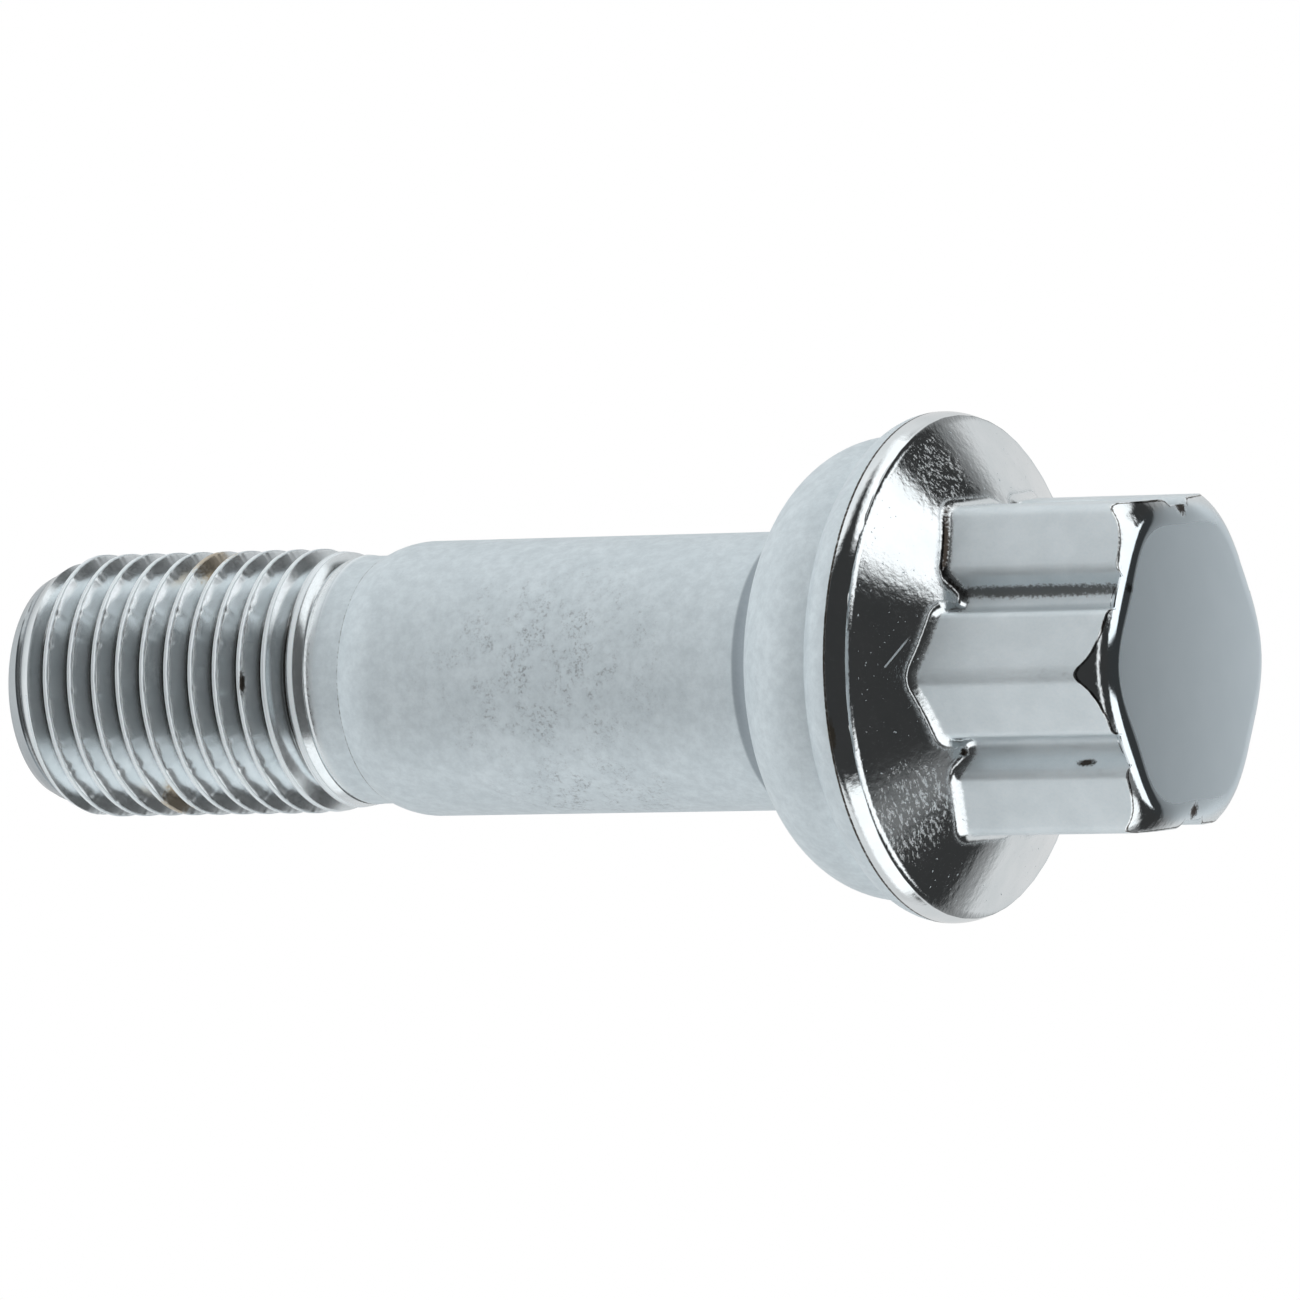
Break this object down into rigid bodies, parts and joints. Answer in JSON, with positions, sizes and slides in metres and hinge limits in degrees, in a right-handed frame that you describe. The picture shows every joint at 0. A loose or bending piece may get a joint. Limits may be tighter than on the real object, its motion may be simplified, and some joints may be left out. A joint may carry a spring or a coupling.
{
  "type": "wheel bolt",
  "caption": "Plated steel wheel bolt with a long plain shank, a rounded seat, a wide flange and a hexagon head with a groove in each flat.",
  "frame": {"origin": "Middle of the threaded end, on the bolt's axis, where the bolt stands.", "axes": "+Z runs along the axis from the threaded end to the head, and one corner of the hexagon points to -Y."},
  "size_m": [0.0264, 0.0264, 0.0679],
  "materials": {
    "plated_steel": "bright plated steel: mirror bright on the head, the flange front and the thread, satin on the shank and the seat"
  },
  "bodies": {
    "root": {"wheel_bolt": "plated_steel"}
  },
  "joints": []
}
